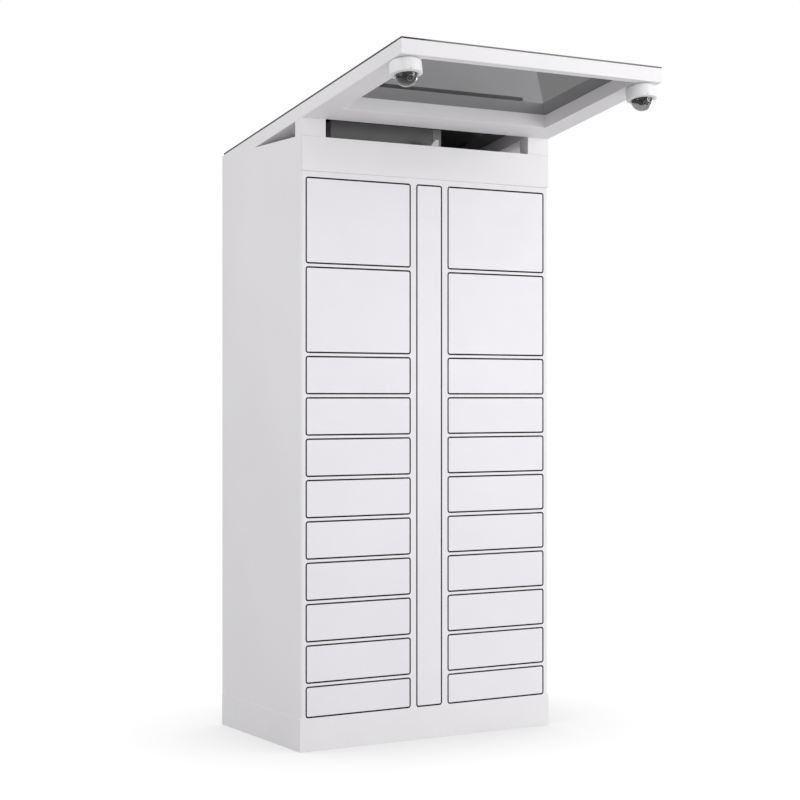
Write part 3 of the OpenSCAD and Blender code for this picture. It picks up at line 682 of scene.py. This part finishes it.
frontLook = {"in": 0.0025, "lightOut": 0.0008, "lightFirst": 0.034, "lightPitch": 0.021, "lightCount": 3,
             "lightRise": 0.040, "lightRadius": 0.0028, "lightRound": 0.0006, "screwOut": 0.0009,
             "screwSide": 0.009, "screwLow": 0.026, "screwTop": 0.010, "screwRadii": (0.0032, 0.0027)}
look = frontLook
lights = bmesh.new()
z = low.z + look["lightRise"]
for i in range(look["lightCount"]):
    x = low.x + look["lightFirst"] + i * look["lightPitch"]
    addRod(lights, (x, low.y + look["in"], z), (x, low.y + look["lightOut"], z), look["lightRadius"], None,
           20, look["lightRound"])
screws = bmesh.new()
for x in (low.x + look["screwSide"], high.x - look["screwSide"]):
    for z in (low.z + look["screwLow"], high.z - look["screwTop"]):
        addRod(screws, (x, low.y + look["in"], z), (x, low.y + look["screwOut"], z), *look["screwRadii"], 20)
makePiece(lights, "control_lights", "cabinet", paints["statusLight"])
makePiece(screws, "control_screws", "cabinet", paints["stainless"])


# Battery: ribbed case, lid with two terminals and a folded handle
batteryLook = {"edgeRadius": 0.004, "lid": 0.030, "seam": 0.001, "core": 0.004, "lidDrop": 0.012}
batteryRibs = {"deep": 0.0016, "count": 6, "ends": 0.035, "half": 0.005, "foot": 0.014, "top": 0.010,
               "round": 0.0012}
terminalLook = {"inset": 0.045, "collar": 0.012, "collarSpan": (-0.001, 0.003), "post": 0.008,
                "postFoot": 0.002, "postTop": 0.001, "round": 0.0008}
handleLook = {"span": 0.055, "lugHalf": 0.007, "lugIn": (0.030, 0.044), "lugSpan": (-0.001, 0.008),
              "lugRound": 0.0015, "barSpan": 0.053, "barIn": (0.032, 0.042), "barRise": (0.002, 0.006),
              "barRound": 0.0014}
low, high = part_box("battery")
look = batteryLook
case = bmesh.new()
lidZ = high.z - look["lid"]
lidTop = high.z - look["lidDrop"]
rib = batteryRibs["deep"]
core = look["core"]
addBox(case, (low.x + rib, low.y + rib, low.z), (high.x - rib, high.y - rib, lidZ - look["seam"]),
       look["edgeRadius"], 3)
addBox(case, (low.x + core, low.y + core, lidZ - core), (high.x - core, high.y - core, lidZ + core))
addBox(case, (low.x, low.y, lidZ), (high.x, high.y, lidTop), look["edgeRadius"], 3)
look = batteryRibs
for i in range(look["count"]):
    y = low.y + look["ends"] + i * (high.y - low.y - 2 * look["ends"]) / (look["count"] - 1)
    for x in (low.x + rib, high.x - rib):
        addBox(case, (x - rib, y - look["half"], low.z + look["foot"]),
               (x + rib, y + look["half"], lidZ - look["top"]), look["round"])
batteryCase = makePiece(case, "battery_case", "cabinet", paints["batteryPlastic"],
                        weighted=True)
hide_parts("battery")

look = terminalLook
terminals = bmesh.new()
collarLow, collarTop = look["collarSpan"]
for y in (low.y + look["inset"], high.y - look["inset"]):
    addRod(terminals, (0, y, lidTop + collarLow), (0, y, lidTop + collarTop), look["collar"], None, 24,
           look["round"])
    addRod(terminals, (0, y, lidTop + look["postFoot"]), (0, y, high.z - look["postTop"]), look["post"], None,
           24, look["round"])
makePiece(terminals, "battery_terminals", "cabinet", paints["brass"])

look = handleLook
handle = bmesh.new()
yMid = (low.y + high.y) / 2
lugs = [(y - look["lugHalf"], y + look["lugHalf"]) for y in (yMid - look["span"], yMid + look["span"])]
bar = (yMid - look["barSpan"], yMid + look["barSpan"])
bars = [(lug, look["lugIn"], look["lugSpan"], look["lugRound"]) for lug in lugs]
bars.append((bar, look["barIn"], look["barRise"], look["barRound"]))
for (y0, y1), (x0, x1), (z0, z1), rounding in bars:
    addBox(handle, (low.x + x0, y0, lidTop + z0), (low.x + x1, y1, lidTop + z1), rounding)
makePiece(handle, "battery_handle", "cabinet", paints["rubberAndGapShade"])


# Cable trunk: clip-on bands along its length, left out behind the control unit
bandLook = {"pitch": 0.18, "half": 0.007, "proud": 0.0008, "first": 0.06, "clear": 0.03, "back": 0.002,
            "round": 0.0004}
low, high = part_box("cable_trunk")
controlLow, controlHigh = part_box("controller")
look = bandLook
bands = bmesh.new()
z = low.z + look["first"]
while z < high.z - look["clear"]:
    if z < controlLow.z - look["clear"] or z > controlHigh.z + look["clear"]:
        addBox(bands, (low.x - look["proud"], low.y - look["proud"], z - look["half"]),
               (high.x + look["proud"], high.y - look["back"], z + look["half"]), look["round"])
    z += look["pitch"]
makePiece(bands, "trunk_bands", "cabinet", paints["blackPlastic"])
print("service column ready")


# Back: louvre lips over the vent slots and screws with sunk drives
lipLook = {"half": 0.032, "slot": 0.005, "pitch": 0.014, "count": 8, "starts": (0.200, 1.8145), "out": 0.0023,
           "sheet": 0.0006, "root": 0.0002, "above": 0.001, "foot": 0.0014}
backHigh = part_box("back_panel")[1]


def addLip(bm, z):  # a sloping blade that sheds rain off one slot
    look = lipLook
    rootY = backHigh.y - look["root"]
    edgeY = backHigh.y + look["out"] - look["sheet"]
    rootZ = z + look["slot"] + look["above"]
    edgeZ = z + look["foot"]
    corners = [(-look["half"], rootY, rootZ), (look["half"], rootY, rootZ),
               (look["half"], edgeY, edgeZ), (-look["half"], edgeY, edgeZ)]
    blade = bmesh.new()
    face = blade.faces.new([blade.verts.new(p) for p in corners])
    bmesh.ops.solidify(blade, geom=[face], thickness=look["sheet"])
    scratch = bpy.data.meshes.new("lip")
    blade.to_mesh(scratch)
    blade.free()
    bm.from_mesh(scratch)
    bpy.data.meshes.remove(scratch)


lips = bmesh.new()
for start in lipLook["starts"]:
    for i in range(lipLook["count"]):
        addLip(lips, start + i * lipLook["pitch"])
makePiece(lips, "vent_lips", "cabinet", paints["cabinetPaint"])

screwLook = {"head": 0.00475, "height": 0.0026, "drive": 0.0024, "sunk": 0.0014, "shank": 0.0025,
             "length": 0.008, "axis": 0.0004, "dome": ((1, 0.35), (0.86, 0.78), (0.62, 1)), "margin": 0.06,
             "count": 8}
look = screwLook
screws = bmesh.new()
screwLow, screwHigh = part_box("rear_screws")
panelLow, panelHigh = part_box("left_side_panel")
head, top, drive = look["head"], look["height"], look["drive"]
outline = [(look["axis"], -look["length"]), (look["shank"], -look["length"]), (look["shank"], 0.0),
           (head, 0.0), *[(head * across, top * up) for across, up in look["dome"]],
           (drive, top), (drive, top - look["sunk"]), (look["axis"], top - look["sunk"])]
for x in (screwLow.x + head, screwHigh.x - head):
    for i in range(look["count"]):
        run = panelHigh.z - panelLow.z - 2 * look["margin"]
        z = panelLow.z + look["margin"] + i * run / (look["count"] - 1)
        place = Matrix.Translation((x, backHigh.y, z)) @ Matrix.Rotation(-pi / 2, 4, "X")
        addTurned(screws, outline, place, 20)
rearScrews = makePiece(screws, "panel_screws", "cabinet", paints["stainless"])
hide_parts("rear_screws")
print("back ready")


# Roof: solar cells and their ribbons laid on the laminate, the dark backsheet under it
roofLook = {"pitch": 9.5, "cell": 0.182, "spacing": 0.186, "columns": 5, "rows": 6, "chamfer": 0.010,
            "thick": 0.0002, "ribbonWide": 0.0014, "ribbonsPerCell": 5, "ribbonThick": 0.00008,
            "ribbonShort": 0.004, "laminate": 0.005, "backThick": 0.00014, "backInset": 0.0015}
roofLow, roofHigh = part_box("roof_panel")
look = roofLook
slope = radians(look["pitch"])
roofDrop = tan(slope) * (roofHigh.y - roofLow.y) / 2
roofMiddle = Vector((0, (roofLow.y + roofHigh.y) / 2, roofHigh.z - roofDrop))
onRoof = Matrix.Translation(roofMiddle) @ Matrix.Rotation(-slope, 4, "X")


def addPlate(bm, size, place):  # a flat bar laid square to the roof
    made = bmesh.ops.create_cube(bm, size=1.0)["verts"]
    bmesh.ops.scale(bm, vec=size, verts=made)
    bmesh.ops.transform(bm, matrix=onRoof @ Matrix.Translation(place), verts=made)


def addCell(bm, x, y):  # a thin square with its corners cut
    look = roofLook
    place = onRoof @ Matrix.Translation((x, y, 0)) @ Matrix.Scale(look["cell"], 4)
    made = bmesh.ops.create_grid(bm, x_segments=1, y_segments=1, size=0.5, matrix=place)["verts"]
    known = set(bm.faces) - {made[0].link_faces[0]}
    bmesh.ops.bevel(bm, geom=made, offset=look["chamfer"], offset_type="OFFSET", affect="VERTICES",
                    segments=1, profile=0.5, material=-1)
    top = [f for f in bm.faces if f not in known]
    raised = bmesh.ops.extrude_face_region(bm, geom=top)["geom"]
    lift = onRoof.to_3x3() @ Vector((0, 0, look["thick"]))
    bmesh.ops.translate(bm, vec=lift, verts=[v for v in raised if type(v) is bmesh.types.BMVert])


cells = bmesh.new()
ribbons = bmesh.new()
ribbonLong = look["rows"] * look["spacing"] - 2 * look["ribbonShort"]
ribbonSize = (look["ribbonWide"], ribbonLong, look["ribbonThick"])
ribbonRise = look["thick"] + look["ribbonThick"] / 2
for column in range(look["columns"]):
    x = (column - (look["columns"] - 1) / 2) * look["spacing"]
    for row in range(look["rows"]):
        addCell(cells, x, (row - (look["rows"] - 1) / 2) * look["spacing"])
    for i in range(look["ribbonsPerCell"]):
        ribbonX = x + (i - (look["ribbonsPerCell"] - 1) / 2) * look["cell"] / look["ribbonsPerCell"]
        addPlate(ribbons, ribbonSize, (ribbonX, 0, ribbonRise))
sheet = bmesh.new()
sheetWide = roofHigh.x - roofLow.x - 2 * look["backInset"]
sheetLong = (roofHigh.y - roofLow.y) / cos(slope) - 2 * look["backInset"]
addPlate(sheet, (sheetWide, sheetLong, look["backThick"]),
         (0, 0, -look["laminate"] * cos(slope) - look["backThick"] / 2))
makePiece(sheet, "roof_backsheet", "cabinet", paints["backsheet"])
makePiece(cells, "solar_cells", "cabinet", paints["solarCell"])
makePiece(ribbons, "solar_ribbons", "cabinet", paints["stainless"])


# Under the roof: aerial, equipment cover with its end cap, junction box with two glands
boxLook = {"aerialRound": 0.0024, "aerialFoot": 0.001, "coverRound": 0.0015, "coverFoot": 0.01,
           "junctionRound": 0.0016, "junctionBody": 0.0145, "junctionUpright": 0.018}
capLook = {"wide": 0.034, "thick": 0.0016, "foot": 0.002, "drop": 0.003, "off": 0.0001}
junctionGland = {"x": 0.025, "rise": 0.010, "nutRadius": 0.006, "nut": (-0.001, 0.006), "nutRound": 0.0005,
                 "sleeveRadius": 0.0044, "sleeve": (0.005, 0.013), "sleeveRound": 0.0006}
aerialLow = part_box("antenna")[0]
equipmentLow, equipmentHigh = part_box("equipment_box")
junctionLow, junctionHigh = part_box("solar_junction_box")


def coverEdge(a, b):
    return min(a.z, b.z) > equipmentLow.z + boxLook["coverFoot"] or near(a.x, b.x) and near(a.y, b.y)


def junctionEdge(a, b):
    upright = near(a.x, b.x) and abs(a.z - b.z) > boxLook["junctionUpright"]
    return min(a.z, b.z) < junctionLow.z + boxLook["junctionBody"] or upright


softCopy("antenna", "aerial_cover", "antennaPlastic", boxLook["aerialRound"],
         lambda a, b: max(a.z, b.z) > aerialLow.z + boxLook["aerialFoot"])
softCopy("equipment_box", "equipment_cover", "equipmentPaint", boxLook["coverRound"],
         coverEdge)
look = capLook
endCap = bmesh.new()
low, high = equipmentLow, equipmentHigh
addBox(endCap, (high.x - look["wide"], low.y - look["thick"], low.z + look["foot"]),
       (high.x, low.y - look["off"], high.z - look["drop"]))
makePiece(endCap, "equipment_end_cap", "cabinet", paints["capPlastic"])
softCopy("solar_junction_box", "junction_box_cover", "blackPlastic",
         boxLook["junctionRound"], junctionEdge)
look = junctionGland
glands = bmesh.new()
z = junctionLow.z + look["rise"]
for x in (-look["x"], look["x"]):
    addGland(glands, Vector((x, junctionHigh.y, z)), Vector((0, 1, 0)), look, 18)
makePiece(glands, "junction_box_glands", "cabinet", paints["blackPlastic"])
print("roof ready")


# Cameras: turned housings square to the sloping soffit, lens glass and ring, tamper screws
camLook = {"pitch": 9.5, "domeRadius": 0.0365, "flangeRadius": 0.0385, "skirt": 0.004, "drop": 0.046,
           "seat": 0.0002, "shoulder": 0.008, "shoulderRound": 0.006, "housing": 0.050, "side": 0.044,
           "lip": 0.040, "bottom": 0.0468, "bore": 0.0368, "step": 0.0388, "flangeTop": 0.007,
           "cavity": 0.0345, "cavityTop": 0.018, "bearing": 0.00605, "bearingTop": 0.010,
           "edgeRadius": 0.0012, "axis": 0.00015}
tamperLook = {"radius": 0.0016, "taper": 0.9, "height": 0.0405, "sunk": 0.0012, "proud": 0.0005,
              "turns": (256, 16, 136)}
eyeLook = {"tilt": 35, "reach": 0.026, "lens": 0.0078, "back": -0.0018,
           "dome": ((1, -0.0014), (0.75, -0.0008), (0.4, -0.0005)), "tip": -0.0004, "ring": 0.0108,
           "ringHalf": 0.0004, "ringGap": 0.0003, "ringFlat": 0.0012, "ringTop": 0.0006, "ringInner": 0.0002}


def roundedCorner(before, corner, after, radius, steps=4):  # an arc in place of an outline's sharp corner
    before, corner, after = Vector(before), Vector(corner), Vector(after)
    into, out = (before - corner).normalized(), (after - corner).normalized()
    half = into.angle(out) / 2
    middle = corner + (into + out).normalized() * radius / sin(half)
    start = (corner + into * radius / tan(half) - middle).normalized()
    end = (corner + out * radius / tan(half) - middle).normalized()
    return [tuple(middle + start.slerp(end, i / steps) * radius) for i in range(steps + 1)]


def housingOutline():  # radius and height from the seat down, round the outside and back up the bore
    look = camLook
    axis, r, curve = look["axis"], look["housing"], look["shoulderRound"]
    stepLow, stepTop = look["skirt"] - look["drop"], look["flangeTop"] - look["drop"]
    start, top = (axis, -look["seat"]), (r - look["shoulder"], -look["seat"])
    shoulder, corner = (r, -look["seat"] - look["shoulder"]), (r, -look["side"])
    lip = (look["lip"], -look["bottom"])
    return [start, *roundedCorner(start, top, shoulder, curve), *roundedCorner(top, shoulder, corner, curve),
            *roundedCorner(shoulder, corner, lip, look["edgeRadius"]), lip, (look["bore"], -look["bottom"]),
            (look["bore"], stepLow), (look["step"], stepLow), (look["step"], stepTop),
            (look["cavity"], stepTop), (look["cavity"], -look["cavityTop"]),
            (look["bearing"], -look["cavityTop"]), (look["bearing"], -look["bearingTop"]),
            (axis, -look["bearingTop"])]


tip = radians(camLook["pitch"])
for side in ("left", "right"):
    look = camLook
    base, eye = side + "_camera_base", side + "_camera_eye"
    low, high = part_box(side + "_camera_dome")
    flangeY = look["flangeRadius"] * cos(tip) - look["skirt"] * sin(tip)
    centre = Vector(((low.x + high.x) / 2, low.y + flangeY, low.z + look["domeRadius"]))
    tipped = Matrix.Translation(centre) @ Matrix.Rotation(-tip, 4, "X")
    seat = tipped @ Matrix.Translation((0, 0, look["drop"]))
    shell = bmesh.new()
    addTurned(shell, housingOutline(), seat, 96)
    housing = makePiece(shell, side + "_camera_housing", bodyOf(base), paints["cameraPlastic"])
    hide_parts(base)

    tamper = tamperLook
    dots = bmesh.new()
    for turn in tamper["turns"]:
        out = Vector((cos(radians(turn)), sin(radians(turn)), 0))
        middle = out * look["housing"] - Vector((0, 0, tamper["height"]))
        addRod(dots, seat @ (middle - out * tamper["sunk"]), seat @ (middle + out * tamper["proud"]),
               tamper["radius"], tamper["radius"] * tamper["taper"], 16)
    makePiece(dots, side + "_camera_screws", bodyOf(base), paints["blackPlastic"])

    look = eyeLook
    lean = radians(look["tilt"] - camLook["pitch"])
    aim = Vector((0, -cos(lean), -sin(lean)))
    facing = aim.to_track_quat("Z", "Y").to_matrix().to_4x4()
    place = Matrix.Translation(centre + aim * look["reach"]) @ facing
    r, axis = look["lens"], camLook["axis"]
    glass = bmesh.new()
    dome = [(r * across, height) for across, height in look["dome"]]
    addTurned(glass, [(axis, look["back"]), (r, look["back"]), *dome, (axis, look["tip"])], place, 32)
    makePiece(glass, side + "_camera_lens", eye, paints["lensGlass"])
    inner, half = r + look["ringGap"], look["ringHalf"]
    ring = bmesh.new()
    addTurned(ring, [(inner, -half), (look["ring"], -half), (look["ring"], half),
                     (r + look["ringFlat"], look["ringTop"]), (inner, look["ringInner"])], place, 32)
    makePiece(ring, side + "_camera_ring", eye, paints["stainless"])
print("cameras ready")


# Floor, light and camera
stageLook = {"shadow": 0.80, "shadowReach": 0.55, "shadowFull": 0.5, "floorWhite": 1.02, "floorRough": 0.9,
             "floorSize": 40.0, "driftScale": 0.6, "bounce": (206, 208), "sky": 0.80,
             "skyColour": (0.99, 0.99, 1.0, 1)}


def makeFloorMaterial():  # white to the camera and shaded near the locker, a plain grey to bounced light
    look = stageLook
    material = bpy.data.materials.new("studioFloor")
    material.use_nodes = True
    tree = material.node_tree
    shader = tree.nodes["Principled BSDF"]
    coords = tree.nodes.new("ShaderNodeTexCoord").outputs["Object"]
    seenByCamera = tree.nodes.new("ShaderNodeLightPath").outputs["Is Camera Ray"]
    bounce = addMix(tree, addNoise(tree, coords, look["driftScale"], 3.0), *[grey(v) for v in look["bounce"]])
    tree.links.new(addMix(tree, seenByCamera, bounce, (0, 0, 0, 1)), shader.inputs["Base Color"])
    shader.inputs["Roughness"].default_value = look["floorRough"]
    shader.inputs["Specular IOR Level"].default_value = 0.0
    shade = tree.nodes.new("ShaderNodeAmbientOcclusion")
    shade.samples = 16
    shade.inputs["Distance"].default_value = look["shadowReach"]
    lit = addRange(tree, shade.outputs["AO"], look["shadowFull"], 1.0, look["shadow"], look["floorWhite"])
    glow = addMath(tree, "MULTIPLY", seenByCamera, lit)
    shader.inputs["Emission Color"].default_value = (1, 1, 1, 1)
    tree.links.new(glow, shader.inputs["Emission Strength"])
    return material


def makeFloor():
    bm = bmesh.new()
    bmesh.ops.create_grid(bm, x_segments=1, y_segments=1, size=stageLook["floorSize"])
    mesh = bpy.data.meshes.new("studio_floor")
    bm.to_mesh(mesh)
    bm.free()
    mesh.materials.append(makeFloorMaterial())
    floor = bpy.data.objects.new("studio_floor", mesh)
    bpy.context.scene.collection.objects.link(floor)


def addBackground(tree, colour, strength):
    node = tree.nodes.new("ShaderNodeBackground")
    node.inputs["Color"].default_value = colour
    node.inputs["Strength"].default_value = strength
    return node.outputs[0]


def makeSky():  # plain white to the camera, a little dimmer as light
    world = bpy.data.worlds.new("studio")
    bpy.context.scene.world = world
    world.use_nodes = True
    tree = world.node_tree
    tree.nodes.clear()
    path = tree.nodes.new("ShaderNodeLightPath")
    mix = tree.nodes.new("ShaderNodeMixShader")
    out = tree.nodes.new("ShaderNodeOutputWorld")
    tree.links.new(path.outputs["Is Camera Ray"], mix.inputs[0])
    tree.links.new(addBackground(tree, stageLook["skyColour"], stageLook["sky"]), mix.inputs[1])
    tree.links.new(addBackground(tree, (1, 1, 1, 1), 1.0), mix.inputs[2])
    tree.links.new(mix.outputs[0], out.inputs[0])


makeFloor()
makeSky()

lightLook = {
    "key": {"place": (3.4, -4.6, 2.3), "aim": (0.0, -0.3, 1.2), "size": (2.6, 3.4), "energy": 113.0},
    "side_fill": {"place": (-3.6, -0.9, 2.6), "aim": (-0.5, -0.2, 1.6), "size": (2.0, 2.0), "energy": 19.0},
    "roof_fill": {"place": (3.2, 0.3, 1.9), "aim": (0.5, 0.0, 2.1), "size": (1.2, 1.2), "energy": 19.0},
}
for name, look in lightLook.items():
    lamp = bpy.data.lights.new(name, "AREA")
    lamp.shape = "RECTANGLE"
    lamp.size, lamp.size_y = look["size"]
    lamp.energy = look["energy"]
    holder = bpy.data.objects.new(name, lamp)
    holder.location = look["place"]
    aim = Vector(look["aim"]) - Vector(look["place"])
    holder.rotation_euler = aim.to_track_quat("-Z", "Y").to_euler()
    bpy.context.scene.collection.objects.link(holder)

viewLook = {"lens": 81.34, "shift": -0.00416, "place": (-3.2654, -5.5870, 1.1733), "turn": -30.774}
cameraData = bpy.data.cameras.new("camera")
cameraData.lens = viewLook["lens"]
cameraData.shift_y = viewLook["shift"]
camera = bpy.data.objects.new("camera", cameraData)
camera.location = viewLook["place"]
camera.rotation_euler = (radians(90), 0, radians(viewLook["turn"]))
bpy.context.scene.collection.objects.link(camera)
bpy.context.scene.camera = camera
bpy.context.scene.view_settings.view_transform = "Standard"
bpy.context.scene.view_settings.look = "None"
print("studio ready")
